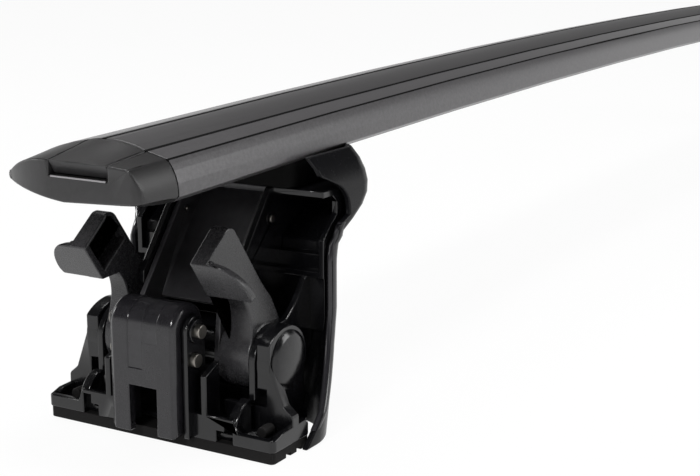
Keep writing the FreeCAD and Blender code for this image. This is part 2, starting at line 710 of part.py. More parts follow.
def pivot_caps():
    """Shallow domed plugs that close the ends of the pivot bore."""
    radius = PIVOT_CAP_RADIUS
    rim = ear_out + PIVOT_CAP_RIM
    inner = ear_out - PIVOT_CAP_SPIGOT
    profile = flat("yz", 0, (inner, 0), (inner, PIVOT_PIN_RADIUS), (ear_out, PIVOT_PIN_RADIUS),
                   (ear_out, radius), (rim, radius), (ear_out + PIVOT_CAP_BULGE, radius - PIVOT_CAP_BEVEL),
                   (ear_out + (PIVOT_CAP_BULGE + 2 * PIVOT_CAP_DOME) / 3, radius / 2),
                   (ear_out + PIVOT_CAP_DOME, 0))
    cap = profile.revolve(vec(0, 0, 0), vec(0, 1, 0), 360)
    cap.translate(vec(PIVOT_X, 0, PIVOT_HEIGHT))
    return Part.makeCompound(both_sides(cap))


def pivot_spacer():
    reach = channel_side - CHANNEL_STEEL
    tube = rod_y(PIVOT_X, PIVOT_HEIGHT, (-reach, reach), PIVOT_PIN_RADIUS + SHAFT_PLAY + SPACER_WALL)
    return tube.cut(rod_y(PIVOT_X, PIVOT_HEIGHT, (-reach, reach), PIVOT_PIN_RADIUS + SHAFT_PLAY))


# Leg bracket
lean = math.radians(LEG_LEAN)


def leg_point(along, forward):
    """A point given along the leg and square to it, both from the pivot."""
    return (PIVOT_X - along * math.sin(lean) + forward * math.cos(lean),
            PIVOT_HEIGHT + along * math.cos(lean) + forward * math.sin(lean))


def leg_point_at_height(z, forward):
    along = (z - PIVOT_HEIGHT - forward * math.sin(lean)) / math.cos(lean)
    return leg_point(along, forward)


seat_back = -(SEAT_PLATE_FRONT + SEAT_PLATE_LENGTH)
leg_back_offset = LEG_FRONT_OFFSET - CHANNEL_DEPTH


def leg_bracket():
    y = (channel_side - CHANNEL_STEEL, channel_side)
    flange = plate_xz(
        y, (PIVOT_X + LEG_EYE_RADIUS, PIVOT_HEIGHT), leg_point(LEG_START, LEG_FRONT_OFFSET),
        (-SEAT_PLATE_FRONT, seat_low), (seat_back, seat_low),
        (seat_back + 4, seat_low - 4), leg_point_at_height(seat_low - SEAT_GUSSET, leg_back_offset),
        leg_point(LEG_EYE_RADIUS + 6, leg_back_offset), (PIVOT_X - LEG_EYE_RADIUS, PIVOT_HEIGHT))
    flange = flange.fuse(rod_y(PIVOT_X, PIVOT_HEIGHT, y, LEG_EYE_RADIUS))
    web_front = LEG_FRONT_OFFSET - CHANNEL_DEPTH + CHANNEL_STEEL
    foot = LEG_EYE_RADIUS + 3
    web = plate_xz(
        (-channel_side, channel_side),
        leg_point(foot, leg_back_offset), leg_point(foot, web_front),
        leg_point_at_height(seat_low + 1, web_front), leg_point_at_height(seat_low + 1, leg_back_offset))
    seat = box((seat_back, -SEAT_PLATE_FRONT), (-channel_side, channel_side), (seat_low, seat_top))
    bracket = join(web, seat, *both_sides(flange))
    cuts = [rod_y(PIVOT_X, PIVOT_HEIGHT, (-CHANNEL_WIDTH, CHANNEL_WIDTH), PIVOT_PIN_RADIUS + SHAFT_PLAY)]
    cuts.append(rod_z(bolt_x, 0, (seat_low - 5, seat_top + 5), BOLT_RADIUS))
    cuts.append(rod_y(-SCREW_FRONT, screw_height, (-CHANNEL_WIDTH, CHANNEL_WIDTH), SCREW_RADIUS))
    return bracket.cut(cuts)


bolt_x = seat_back + BOLT_FROM_BACK
screw_height = seat_low - SCREW_BELOW_SEAT


# Catch levers
arm_out = sleeve_out - ARM_SETBACK
arm_in = arm_out - ARM_WIDTH
tab_top = (TAB_TOP_OUT, TAB_TOP_HEIGHT)
tab_bottom = (-TAB_BOTTOM_IN, TAB_BOTTOM_HEIGHT)
crown_front = (LEVER_TOP_HALF - LEVER_TOP_INSET, LEVER_TOP_HEIGHT - 1.6)


def on_sleeve(degrees):
    turn = math.radians(degrees)
    return (PIVOT_X + SLEEVE_RADIUS * math.cos(turn), PIVOT_HEIGHT + SLEEVE_RADIUS * math.sin(turn))


def arm_outline():
    """Side view of the lever's arm: round top, straight back, necked above the sleeve."""
    top_x = -LEVER_TOP_INSET
    neck = on_sleeve(32)
    return [
        tab_top,
        crown_front,
        ((top_x, LEVER_TOP_HEIGHT), (top_x - LEVER_TOP_HALF, LEVER_TOP_HEIGHT - 2.6)),
        (PIVOT_X - 6.6, PIVOT_HEIGHT + 23.6),
        on_sleeve(158),
        (PIVOT_X, PIVOT_HEIGHT),
        neck,
        ((neck[0] - 1.7, PIVOT_HEIGHT + 17.5), (PIVOT_X + 16, PIVOT_HEIGHT + ARM_FLARE_TOP)),
        tab_bottom,
    ]


def below_top_edge(along, depth):
    """A point along the arm's sloping top edge from the tab, and square to that edge downward."""
    run, rise = crown_front[0] - tab_top[0], crown_front[1] - tab_top[1]
    length = math.hypot(run, rise)
    return (tab_top[0] + (along * run - depth * rise) / length,
            tab_top[1] + (along * rise + depth * run) / length)


def arm_band(low, high):
    """The stretch of the arm between two depths below its sloping top edge."""
    reach = LEVER_TOP_HEIGHT
    return plate_xz((arm_in, sleeve_out), below_top_edge(-reach, low), below_top_edge(reach, low),
                    below_top_edge(reach, high), below_top_edge(-reach, high))


def lever_tab():
    """Thumb tab: a slab along the arm's sloping front edge that reaches out sideways."""
    run, rise = tab_top[0] - tab_bottom[0], tab_top[1] - tab_bottom[1]
    length = math.hypot(run, rise)
    back = (-rise / length * TAB_THICKNESS, run / length * TAB_THICKNESS)
    end = arm_in + TAB_REACH
    slab = plate_xz((arm_in, end), tab_top, tab_bottom, (tab_bottom[0] + back[0], tab_bottom[1] + back[1]),
                    (tab_top[0] + back[0], tab_top[1] + back[1]))
    low, high = TAB_BOTTOM_HEIGHT - 3, TAB_TOP_HEIGHT + 6
    keep = plate_yz(
        (-20, 20),
        (arm_in, low), (end - 1, low), (end - 1, TAB_BOTTOM_HEIGHT), (end, TAB_BOTTOM_HEIGHT + 2.5),
        ((end - TAB_BEND[0], TAB_TOP_HEIGHT - TAB_BEND[1]), (arm_in + TAB_TOP_REACH, TAB_TOP_HEIGHT + 1)),
        (arm_in + TAB_TOP_REACH - 3, high), (arm_in, high))
    return slab.common(keep)


def lever():
    arm_face = flat("xz", arm_in, *arm_outline())
    arm = arm_face.extrude(vec(0, sleeve_out - arm_in, 0))
    above_flare = plate_yz(
        (PIVOT_X - LEVER_TOP_HEIGHT, LEVER_TOP_HEIGHT),
        (arm_out, PIVOT_HEIGHT + ARM_FLARE_TOP), (sleeve_out, PIVOT_HEIGHT + ARM_FLARE_FOOT),
        (sleeve_out + 1, PIVOT_HEIGHT + ARM_FLARE_FOOT), (sleeve_out + 1, LEVER_TOP_HEIGHT + 1),
        (arm_out, LEVER_TOP_HEIGHT + 1))
    sleeve = rod_y(PIVOT_X, PIVOT_HEIGHT, (sleeve_in, sleeve_out), SLEEVE_RADIUS)
    recess = arm_face.makeOffset2D(-ARM_RIM).extrude(vec(0, ARM_WIDTH - ARM_SKIN, 0))
    recess = recess.common(arm_band(0, ARM_POCKET_DEPTH))
    rib = arm_band(ARM_RIB_DEPTH - ARM_RIB_WIDTH / 2, ARM_RIB_DEPTH + ARM_RIB_WIDTH / 2)
    arm = arm.cut([above_flare, recess.cut(rib)])
    body = join(arm, sleeve, lever_tab())
    return body.cut(rod_y(PIVOT_X, PIVOT_HEIGHT, (0, base_side), PIVOT_PIN_RADIUS + SHAFT_PLAY))


# Tower frame: the moulded liner round the steel leg, with cheeks on the pivot pin
plate_in = channel_side + 0.2
plate_out = plate_in + FRAME_WALL
frame_back = -SHELL_BACK + SHELL_WALL + 0.6
deck_low = seat_top - FRAME_DECK
head_back = -(SHELL_BACK + SHELL_HEAD_DEPTH) + SHELL_WALL + 6


def frame_inner_plate():
    """Plate along the leg's flange, just clear of the lever sleeves below it."""
    front = LEG_FRONT_OFFSET + 2.5
    clear = SLEEVE_RADIUS + 6
    return plate_xz(
        (plate_in, plate_out),
        leg_point(clear - 4, front - 3), leg_point(clear, front), leg_point_at_height(seat_top, front),
        (head_back, seat_top), (head_back, seat_top - 8), (frame_back - 2, frame_back_top + 4),
        (frame_back, frame_back_top), (frame_back, PIVOT_HEIGHT + clear), (PIVOT_X, PIVOT_HEIGHT + clear))


def frame_cheek():
    """Cheek beside the lever sleeve: an eye on the pivot pin, swept up to the back wall."""
    front, top = PIVOT_X + CHEEK_RADIUS, PIVOT_HEIGHT + CHEEK_RISE
    tail = frame_back + 1
    return plate_xz(
        (cheek_in, cheek_out),
        (front, CHEEK_FRONT_FOOT), (front, PIVOT_HEIGHT + 1),
        ((front - 4, PIVOT_HEIGHT + 9), (PIVOT_X + 1.5, top - 0.6)), (PIVOT_X - 9.5, top),
        ((PIVOT_X - 18.6, top + 7), (tail + 3.5, frame_shelf)),
        (tail, frame_shelf), (tail, PIVOT_HEIGHT), (PIVOT_X - CHEEK_RADIUS + 4, CHEEK_FRONT_FOOT))


def frame_side_wall():
    """Outer liner wall in the head, with the faceted front edge under the shoulder."""
    front = -FRAME_FRONT - 4
    return plate_xz(
        (FRAME_SIDE - FRAME_WALL, FRAME_SIDE),
        (frame_back + 1, frame_shelf - 3), (-FRAME_FRONT, frame_shelf - 3),
        (-FRAME_FRONT, frame_shelf + 14), (front - 7, seat_top - 11), (front - 7, seat_top - 6),
        (front, seat_top), (head_back, seat_top), (head_back, seat_top - 8),
        (frame_back - 2, frame_back_top + 4), (frame_back + 1, frame_back_top))


def tower_frame():
    half = [frame_inner_plate(), frame_cheek(), frame_side_wall()]
    half.append(box((head_back, -FRAME_FRONT), (plate_in, FRAME_SIDE), (deck_low, seat_top)))
    half.append(box((frame_back, -FRAME_FRONT), (plate_in, FRAME_SIDE),
                    (frame_shelf - FRAME_WALL, frame_shelf)))
    parts = []
    for piece in half:
        parts += both_sides(piece)
    back = box((frame_back, frame_back + FRAME_BACK_THICKNESS), (-FRAME_SIDE, FRAME_SIDE),
               (FRAME_BACK_FOOT, frame_back_top))
    frame = join(back, *parts).common(shell_solid(SHELL_WALL + LINER_GAP, 0))
    wide = (-base_side, base_side)
    return frame.cut([rod_y(PIVOT_X, PIVOT_HEIGHT, wide, PIVOT_PIN_RADIUS + SHAFT_PLAY),
                      rod_y(-SCREW_FRONT, screw_height, wide, SCREW_RADIUS)])


def frame_screws():
    """Round-headed screws through the frame's inner plates into the leg bracket."""
    x, z = -SCREW_FRONT, screw_height
    head = rod_y(x, z, (plate_out, plate_out + SCREW_HEAD_HEIGHT), SCREW_HEAD_RADIUS)
    shank = rod_y(x, z, (channel_side - CHANNEL_STEEL - 1, plate_out), SCREW_RADIUS)
    return Part.makeCompound(both_sides(head.fuse(shank)))


# Tower shell, built from level outlines: a straight column under a head that swells back.
shell_top = BAR_HEIGHT_OVER_ROOF + LEAD_BOTTOM
column_top = shell_shoulder - 3


def shell_setback(z):
    """How far the back stands behind the column at height z."""
    rise = max(0.0, z - shell_shoulder) / SHELL_SWELL
    return SHELL_HEAD_DEPTH * (1 - math.exp(-rise ** 2))


def shell_narrowing(z):
    """How far each side has rounded inward at height z."""
    rise = max(0.0, z - (shell_top - SHELL_BROW_HEIGHT))
    return SHELL_BROW_RADIUS - math.sqrt(SHELL_BROW_RADIUS ** 2 - rise ** 2)


def skirt_share(z):
    """0 at the waist and above, 1 from the skirt's lip down."""
    share = (SHELL_WAIST_HEIGHT - z) / (SHELL_WAIST_HEIGHT - SHELL_LIP_HEIGHT)
    return min(1.0, max(0.0, share))


def shell_tuck(z):
    """How far the back has tucked forward at height z, below the waist."""
    return SHELL_TUCK * max(0.0, SHELL_WAIST_HEIGHT - z) / (SHELL_WAIST_HEIGHT - SHELL_FOOT_HEIGHT)


def shell_ring(z, inset):
    """Level outline with round back corners, drawn back to the foot's outer edge."""
    level = min(z, shell_top)
    flare = SHELL_FLARE * skirt_share(level) ** 1.5
    side = shell_side + flare - shell_narrowing(level) - inset
    x = -SHELL_BACK - shell_setback(level) + shell_tuck(level) + inset
    corner = SHELL_CORNER + (SHELL_FOOT_CORNER - SHELL_CORNER) * skirt_share(level) ** 2 - inset
    bend = corner * (1 - math.sqrt(0.5))
    return flat("xy", z, (0, -side), (0, side), (x + corner, side),
                ((x + bend, side - bend), (x, side - corner)), (x, corner - side),
                ((x + bend, bend - side), (x + corner, -side)))


def shell_rings(low, high, count, inset):
    step = (high - low) / count
    return [shell_ring(low + step * k, inset).OuterWire for k in range(count + 1)]


def shell_solid(inset, stretch):
    """Closed body of the shell, inset by a wall, stretched past its two ends."""
    skirt_rings = shell_rings(SHELL_LIP_HEIGHT, SHELL_WAIST_HEIGHT, SHELL_SKIRT_LEVELS, inset)
    skirt_rings.insert(0, shell_ring(SHELL_FOOT_HEIGHT, inset).OuterWire)
    head_count = int((shell_top - column_top) / SHELL_LEVEL_STEP) + 1
    head_rings = shell_rings(column_top, shell_top, head_count, inset)
    pieces = [
        Part.makeLoft(head_rings, True, True),
        Part.makeLoft(skirt_rings, True, True),
        shell_ring(SHELL_WAIST_HEIGHT, inset).extrude(vec(0, 0, column_top - SHELL_WAIST_HEIGHT)),
    ]
    if stretch:
        pieces.append(shell_ring(shell_top, inset).extrude(vec(0, 0, stretch)))
        pieces.append(shell_ring(SHELL_FOOT_HEIGHT, inset).extrude(vec(0, 0, -stretch)))
    return join(*pieces)


def shell_front_trim():
    """Everything in front of the shell's rim."""
    top = BAR_HEIGHT_OVER_ROOF + BAR_DEPTH
    column, notch_back = -RIM_FRONT, -RIM_NOTCH_BACK
    shoulder, notch = seat_top - RIM_SHOULDER_DROP, seat_top - RIM_NOTCH_DROP
    hood = BAR_HEIGHT_OVER_ROOF - RIM_HOOD_DROP
    return plate_xz(
        (-SHELL_WIDTH, SHELL_WIDTH),
        (10, -5), (-SKIRT_FRONT, -5), (-SKIRT_FRONT, SHELL_FOOT_HEIGHT), (-RIM_LIP, SHELL_LIP_HEIGHT),
        ((-RIM_BEND[0], RIM_BEND[1]), (column, RIM_SWEEP_TOP)), (column, shoulder),
        ((column - RIM_SHOULDER_BEND[0], shoulder + RIM_SHOULDER_BEND[1]),
         (column - RIM_SHOULDER_END[0], shoulder + RIM_SHOULDER_END[1])),
        (column - RIM_SHOULDER_END[0] - 0.5, notch), (notch_back, notch + RIM_NOTCH_RISE),
        ((notch_back + RIM_HOOD_BEND[0], notch + RIM_HOOD_BEND[1]),
         (notch_back + RIM_HOOD_ROOT[0], hood - RIM_HOOD_ROOT[1])),
        (-RIM_HOOD_FRONT, hood), (2 - RIM_HOOD_FRONT, top), (10, top))


def tower_shell():
    outer = shell_solid(0, 0)
    return outer.cut([shell_solid(SHELL_WALL, 2), shell_front_trim(), bar_solid()])


# Saddle between seat plate and bar
bar_solid_kept = []


def bar_solid():
    """The bar's outside as one solid, placed at the right foot's own origin."""
    if not bar_solid_kept:
        body = sweep_arch(bar_face)
        body.translate(vec(-FOOT_X, 0, 0))
        bar_solid_kept.append(body)
    return bar_solid_kept[0]


def bar_saddle():
    x = (seat_middle - SADDLE_LENGTH / 2, seat_middle + SADDLE_LENGTH / 2)
    side = SADDLE_WIDTH / 2
    top = BAR_HEIGHT_OVER_ROOF + LEAD_BOTTOM
    block = box(x, (-side, side), (seat_top, top))
    block = round_edges(block, SADDLE_CORNER, lambda edge: runs_along(edge, vec(0, 0, 1)))
    saddle = block.cut(bar_solid())
    cuts = [rod_z(bolt_x, 0, (seat_top - 5, top + 5), BOLT_RADIUS)]
    for pocket in both_sides(box((x[0] + SADDLE_RELIEF, x[1] - SADDLE_RELIEF),
                                 (BOLT_SLOT_CAVITY, side - SADDLE_RELIEF), (seat_top - 1, seat_top + 3))):
        cuts.append(pocket)
    return saddle.cut(cuts)


def bar_bolt():
    """Hammer-head bolt in the bar's lower slot."""
    x = (bolt_x - BOLT_HEAD_WIDTH / 2, bolt_x + BOLT_HEAD_WIDTH / 2)
    low = underside_at(bolt_x) + BOLT_SLOT_LIP + RUNNING_GAP
    head = box(x, (-BOLT_HEAD_LENGTH / 2, BOLT_HEAD_LENGTH / 2), (low, low + BOLT_HEAD_HEIGHT))
    return head.fuse(rod_z(bolt_x, 0, (seat_low - BOLT_TAIL, low), BOLT_RADIUS))


def bar_nut():
    """Flanged nut under the seat plate."""
    flange_low = seat_low - WASHER_THICKNESS
    reach = NUT_WIDTH / math.sqrt(3)
    corners = [(bolt_x + reach * math.cos(math.radians(60 * k)), reach * math.sin(math.radians(60 * k)))
               for k in range(6)]
    nut = plate_xy((flange_low - NUT_HEIGHT, flange_low), *corners)
    flange = rod_z(bolt_x, 0, (flange_low, seat_low), WASHER_RADIUS)
    bore = rod_z(bolt_x, 0, (flange_low - NUT_HEIGHT - 1, seat_low + 1), BOLT_RADIUS)
    return nut.fuse(flange).cut(bore)


# Clamp block and its pin
block_foot = PAD_THICKNESS + RUNNING_GAP


def block_blank(y, inset):
    """The block before it is rounded and hollowed, its front face and crown inset."""
    body = box((-BLOCK_BACK, BLOCK_OUT - inset), y, (block_foot, BLOCK_PIN_HEIGHT))
    return join(body, rod_y(-BLOCK_PIN_INSET, BLOCK_PIN_HEIGHT, y, BLOCK_CROWN_RADIUS - inset))


def block_band(y, depth, foot):
    """Shallow band over the crown and down the front face to the given height."""
    above = box((-BLOCK_OUT * 4, BLOCK_OUT * 2), y, (foot, BLOCK_PIN_HEIGHT * 2))
    return block_blank(y, 0).common(above).cut(block_blank(y, depth))


def clamp_block():
    def front_or_foot_side(edge):
        middle = edge.CenterOfMass
        if not near(abs(middle.y), block_side):
            return False
        upright = near(middle.x, BLOCK_OUT) and runs_along(edge, vec(0, 0, 1))
        return upright or (near(middle.z, block_foot) and runs_along(edge, vec(1, 0, 0)))

    block = round_edges(block_blank((-block_side, block_side), 0), BLOCK_CORNER, front_or_foot_side)
    hollow = box((-BLOCK_BACK - 10, BLOCK_OUT - BLOCK_FRONT_WALL),
                 (-block_side + BLOCK_SIDE_WALL, block_side - BLOCK_SIDE_WALL),
                 (0, BLOCK_PIN_HEIGHT - BLOCK_PIN_RADIUS - BLOCK_SIDE_WALL))
    notch = box((0, BLOCK_OUT + 5), (-BLOCK_NOTCH_WIDTH / 2, BLOCK_NOTCH_WIDTH / 2), (0, BLOCK_NOTCH_TOP))
    band = block_band((-BLOCK_BAND_WIDTH, 0), BLOCK_BAND_DEPTH, BLOCK_BAND_FOOT)
    panel = block_band((0, BLOCK_PANEL_WIDTH), BLOCK_PANEL_DEPTH, BLOCK_PANEL_FOOT)
    bore = rod_y(-BLOCK_PIN_INSET, BLOCK_PIN_HEIGHT, (-BLOCK_WIDTH, BLOCK_WIDTH), BLOCK_PIN_RADIUS + SHAFT_PLAY)
    return block.cut([hollow, notch, band, panel, bore])


def block_pin():
    reach = lug_out + BLOCK_PIN_OVERHANG
    return rod_y(-BLOCK_PIN_INSET, BLOCK_PIN_HEIGHT, (-reach, reach), BLOCK_PIN_RADIUS)


def block_clips():
    """Push-on washers outside the lugs."""
    washer = rod_y(-BLOCK_PIN_INSET, BLOCK_PIN_HEIGHT, (lug_out, lug_out + CLIP_THICKNESS), CLIP_RADIUS)
    washer = washer.cut(rod_y(-BLOCK_PIN_INSET, BLOCK_PIN_HEIGHT, (0, base_side), BLOCK_PIN_RADIUS))
    return Part.makeCompound(both_sides(washer))


def lug_studs():
    """Short studs riveted through the lugs below the block's pin."""
    stud = rod_y(-STUD_SETBACK, STUD_HEIGHT, (lug_in, lug_out + STUD_LENGTH), STUD_RADIUS)
    return Part.makeCompound(both_sides(stud))


def to_right_foot(shape):
    moved = shape.copy()
    moved.translate(vec(FOOT_X, 0, 0))
    return moved


def to_left(shape):
    return shape.mirror(vec(0, 0, 0), vec(1, 0, 0))


def foot_parts():
    side_lever = lever()
    return {
        "rubber_pad": rubber_pad(),
        "base_plate": base_plate(),
        "pivot_pin": pivot_pin(),
        "pivot_caps": pivot_caps(),
        "pivot_spacer": pivot_spacer(),
        "leg_bracket": leg_bracket(),
        "front_lever": side_lever,
        "rear_lever": other_side(side_lever),
        "tower_frame": tower_frame(),
        "frame_screws": frame_screws(),
        "tower_shell": tower_shell(),
        "bar_saddle": bar_saddle(),
        "bar_bolt": bar_bolt(),
        "bar_nut": bar_nut(),
        "clamp_block": clamp_block(),
        "block_pin": block_pin(),
        "block_clips": block_clips(),
        "lug_studs": lug_studs(),
    }


def bar_end_parts():
    return {
        "end_cap": end_cap(),
        "end_cap_flap": end_cap_flap(),
        "end_cap_flap_pin": end_cap_flap_pin(),
    }


def main():
    parts = {
        "crossbar": sweep_arch(crossbar_section()[0]),
        "top_strip": sweep_arch(strip_section()),
    }
    for name, shape in foot_parts().items():
        parts["right_" + name] = to_right_foot(shape)
    for name, shape in bar_end_parts().items():
        parts["right_" + name] = at_bar_end(shape)
    for name in [name for name in parts if name.startswith("right_")]:
        parts["left_" + name[len("right_"):]] = to_left(parts[name])
    os.makedirs("parts", exist_ok=True)
    for name, shape in parts.items():
        shape.exportStep("parts/" + name + ".step")
        bounds = shape.BoundBox
        print(name, len(shape.Solids), "solids, valid", shape.isValid(), "volume", round(shape.Volume),
              "x", round(bounds.XMin, 1), round(bounds.XMax, 1), "y", round(bounds.YMin, 1),
              round(bounds.YMax, 1), "z", round(bounds.ZMin, 1), round(bounds.ZMax, 1))


main()
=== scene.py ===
# %% [markdown]
# # Dressing a roof rack crossbar
#
# A wing-shaped aluminium bar stands on two feet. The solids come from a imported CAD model, which also
# says what moves with what. This lesson gives each solid the soft edges, surfaces and small details of
# the real thing, then lights it and looks at it the way a product photograph does.
#
# Everything is in metres: X runs along the bar, Y along the car, Z is up, and the roof is at z = 0.

import json
import math

import bmesh
import bpy
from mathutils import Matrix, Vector
from mathutils.bvhtree import BVHTree


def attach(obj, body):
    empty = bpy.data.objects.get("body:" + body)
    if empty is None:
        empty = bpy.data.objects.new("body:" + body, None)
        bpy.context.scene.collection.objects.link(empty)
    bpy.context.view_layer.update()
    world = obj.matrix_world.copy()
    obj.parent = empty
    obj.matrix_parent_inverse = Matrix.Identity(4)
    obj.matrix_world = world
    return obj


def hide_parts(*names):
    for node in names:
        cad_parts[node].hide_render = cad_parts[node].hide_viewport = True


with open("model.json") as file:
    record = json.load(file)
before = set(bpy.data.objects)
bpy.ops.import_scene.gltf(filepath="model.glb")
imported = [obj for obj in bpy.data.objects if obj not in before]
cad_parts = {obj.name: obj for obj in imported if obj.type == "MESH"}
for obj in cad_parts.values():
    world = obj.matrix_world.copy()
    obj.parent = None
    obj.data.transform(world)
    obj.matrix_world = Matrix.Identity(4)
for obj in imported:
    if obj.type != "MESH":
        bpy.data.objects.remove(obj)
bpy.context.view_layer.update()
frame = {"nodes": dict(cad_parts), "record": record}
MM = 0.001
SIDES = {"right": 1.0, "left": -1.0}

# %% [markdown]
# ## Camera
#
# The photograph looks down a little at the near foot, from outside it and from the leading side.
# The camera's place was worked out from the foot's own edges, so the solids land on the picture.

# %% Camera
CAMERA_PLACE = Vector((1.0069, 0.3551, 0.2155))
CAMERA_YAW = math.radians(30.26)      # from looking straight along the bar
CAMERA_PITCH = math.radians(12.80)    # downward
CAMERA_LENS = 73.24
SENSOR_WIDTH = 36.0

sight = Vector((-math.cos(CAMERA_YAW) * math.cos(CAMERA_PITCH),
                -math.sin(CAMERA_YAW) * math.cos(CAMERA_PITCH),
                -math.sin(CAMERA_PITCH)))
camera = bpy.data.objects.new("camera", bpy.data.cameras.new("camera"))
camera.data.sensor_width = SENSOR_WIDTH
camera.data.lens = CAMERA_LENS
camera.location = CAMERA_PLACE
camera.rotation_euler = sight.to_track_quat("-Z", "Y").to_euler()
bpy.context.scene.collection.objects.link(camera)
bpy.context.scene.camera = camera
print("camera at", tuple(round(v, 3) for v in camera.location))

# %% [markdown]
# ## Light, floor and background
#
# Large soft lamps stand in for a studio. The world is plain white to the camera and dimmer as a light.
# In reflections it is white up to a little above the horizon, where the paper sweep ends, and dark
# above. The floor is white paper that keeps a faint shadow.

# %% Light
WORLD_LIGHT = 0.34         # what diffuse rays see
ROOM_LIGHT = 0.06          # what mirrors see overhead
SWEEP_END = (0.09, 0.34)   # sine of the height at which the white sweep fades into the room
LAMPS = {
    # name: (place, aim, side length, watts)
    "key": ((1.9, 0.1, 0.9), (0.5, 0.0, 0.08), 0.28, 12.0),
    "side": ((-0.7, 1.7, 0.9), (0.4, 0.0, 0.1), 0.9, 13.0),
    "back": ((0.0, -0.8, 1.7), (0.5, 0.0, 0.1), 0.5, 7.0),
    "top": ((0.6, 0.2, 1.6), (0.5, 0.0, 0.1), 0.4, 11.0),
    "rim": ((0.9, -1.5, 0.7), (0.5, 0.0, 0.08), 0.5, 5.0),
}


def soft_lamp(name, place, aim, side, watts):
    lamp = bpy.data.lights.new(name, "AREA")
    lamp.size = side
    lamp.energy = watts
    holder = bpy.data.objects.new(name, lamp)
    holder.location = place
    holder.rotation_euler = (Vector(aim) - Vector(place)).to_track_quat("-Z", "Y").to_euler()
    bpy.context.scene.collection.objects.link(holder)


def math_node(tree, operation, first, second):
    """A Math node; each operand is a socket or a number."""
    node = tree.nodes.new("ShaderNodeMath")
    node.operation = operation
    for place, value in enumerate((first, second)):
        if isinstance(value, (int, float)):
            node.inputs[place].default_value = value
        else:
            tree.links.new(value, node.inputs[place])
    return node.outputs[0]


def mirrored(tree, path):
    """1 for rays from a mirror or through glass, otherwise 0."""
    return math_node(tree, "MAXIMUM", path.outputs["Is Glossy Ray"], path.outputs["Is Transmission Ray"])


def seen_directly(tree):
    """1 for rays from the camera, from a mirror or through glass, otherwise 0."""
    path = tree.nodes.new("ShaderNodeLightPath")
    return math_node(tree, "MAXIMUM", path.outputs["Is Camera Ray"], mirrored(tree, path))


def room_level(tree):
    """White up to a little above the horizon, where the paper sweep ends, and a dark room above."""
    direction = tree.nodes.new("ShaderNodeTexCoord").outputs["Generated"]
    split = tree.nodes.new("ShaderNodeSeparateXYZ")
    tree.links.new(direction, split.inputs["Vector"])
    fade = tree.nodes.new("ShaderNodeMapRange")
    fade.interpolation_type = "SMOOTHSTEP"
    fade.inputs["From Min"].default_value = SWEEP_END[0]
    fade.inputs["From Max"].default_value = SWEEP_END[1]
    fade.inputs["To Min"].default_value = 1.0
    fade.inputs["To Max"].default_value = ROOM_LIGHT
    tree.links.new(split.outputs["Z"], fade.inputs["Value"])
    return fade.outputs["Result"]


def studio_world():
    world = bpy.data.worlds.new("studio")
    world.use_nodes = True
    tree = world.node_tree
    background = tree.nodes["Background"]
    background.inputs["Color"].default_value = (1, 1, 1, 1)
    path = tree.nodes.new("ShaderNodeLightPath")
    level = tree.nodes.new("ShaderNodeMapRange")
    level.inputs["To Min"].default_value = WORLD_LIGHT
    tree.links.new(room_level(tree), level.inputs["To Max"])
    tree.links.new(mirrored(tree, path), level.inputs["Value"])
    whole = tree.nodes.new("ShaderNodeMapRange")
    whole.inputs["To Max"].default_value = 1.0
    tree.links.new(level.outputs["Result"], whole.inputs["To Min"])
    tree.links.new(path.outputs["Is Camera Ray"], whole.inputs["Value"])
    tree.links.new(whole.outputs["Result"], background.inputs["Strength"])
    bpy.context.scene.world = world


for lamp_name, (lamp_place, lamp_aim, lamp_side, lamp_watts) in LAMPS.items():
    soft_lamp(lamp_name, lamp_place, lamp_aim, lamp_side, lamp_watts)
studio_world()
bpy.context.scene.view_settings.view_transform = "Standard"
print("lamps:", ", ".join(LAMPS))

# %% Floor
FLOOR_HALF = 40.0
FLOOR_GLOW = 0.94        # share of plain white in what the camera sees; the rest takes the shadow
PAPER_COLOUR = (0.86, 0.86, 0.86, 1)


def floor_material():
    material = bpy.data.materials.new("white_paper")
    material.use_nodes = True
    tree = material.node_tree
    tree.nodes.clear()
    paper = tree.nodes.new("ShaderNodeBsdfDiffuse")
    paper.inputs["Color"].default_value = PAPER_COLOUR
    glow = tree.nodes.new("ShaderNodeEmission")
    glow.inputs["Color"].default_value = (1, 1, 1, 1)
    share = math_node(tree, "MULTIPLY", seen_directly(tree), FLOOR_GLOW)
    mix = tree.nodes.new("ShaderNodeMixShader")
    tree.links.new(share, mix.inputs["Fac"])
    tree.links.new(paper.outputs[0], mix.inputs[1])
    tree.links.new(glow.outputs[0], mix.inputs[2])
    output = tree.nodes.new("ShaderNodeOutputMaterial")
    tree.links.new(mix.outputs[0], output.inputs["Surface"])
    return material


def paper_floor():
    mesh = bpy.data.meshes.new("floor")
    reach = FLOOR_HALF
    corners = [(-reach, -reach, 0), (reach, -reach, 0), (reach, reach, 0), (-reach, reach, 0)]
    mesh.from_pydata(corners, [], [(0, 1, 2, 3)])
    mesh.materials.append(floor_material())
    floor = bpy.data.objects.new("floor", mesh)
    bpy.context.scene.collection.objects.link(floor)


paper_floor()
print("floor", 2 * FLOOR_HALF, "m square")

# %% [markdown]
# ## Shared surface groups
#
# Three node groups do the work that every surface needs. `surface_grain` gives a bump and a mask from
# two sizes of noise. `edge_wear` finds the rubbed edges. `dust_film` settles on what faces up.

# %% Shader groups
COARSE_SHARE = 0.22          # scale of the coarse noise, as a share of the fine one's
BUMP_DISTANCE = 0.00012      # metres
POINTED = (0.52, 0.60)       # pointiness from which an edge counts as rubbed, and where it is full
WEAR_SCALE = 260.0
DUST_SCALE = 45.0


